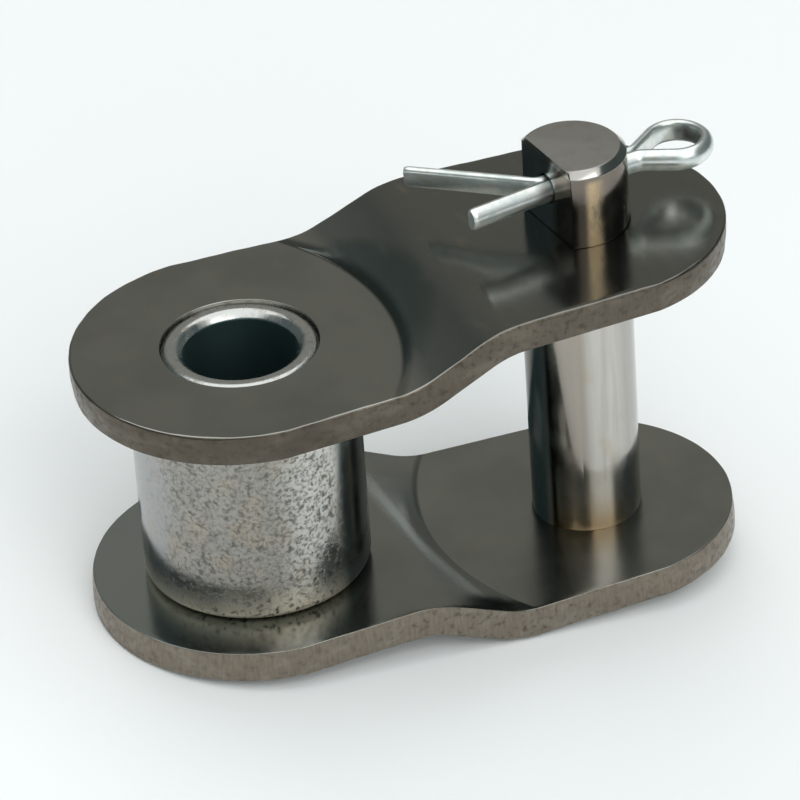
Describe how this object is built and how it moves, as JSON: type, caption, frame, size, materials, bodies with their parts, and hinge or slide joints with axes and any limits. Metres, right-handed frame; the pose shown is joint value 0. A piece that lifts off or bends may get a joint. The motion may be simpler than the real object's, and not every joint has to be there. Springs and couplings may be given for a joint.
{
  "type": "offset link",
  "caption": "Cranked roller-chain link for joining an odd number of pitches: joggled side plates, a bush with a turning roller at the narrow end, a cotter-held pin at the wide end.",
  "frame": {"origin": "centre of the bush bore, half way between the side plates", "axes": "+Z along the bush and the pin towards the cotter-pin side, +X from the bush axis to the pin axis"},
  "size_m": [0.0485, 0.0238, 0.0331],
  "materials": {
    "plate_steel": "dark olive-brown heat-treated steel, oiled, semi-gloss",
    "bush_steel": "ground steel, bright at the ends",
    "roller_steel": "bright steel with dark pits and stains",
    "pin_steel": "ground steel with a warm heat tint",
    "zinc_wire": "bright zinc-plated wire with a faint green tint"
  },
  "bodies": {
    "link": {"upper_plate": "plate_steel", "lower_plate": "plate_steel", "bush": "bush_steel", "link_pin": "pin_steel", "cotter_pin": "zinc_wire"},
    "roller": {"roller": "roller_steel"}
  },
  "joints": [
    {"name": "roller_spin", "type": "hinge", "parent": "link", "child": "roller", "pos_m": [0, 0, 0], "axis": [0, 0, 1], "continuous": true}
  ]
}
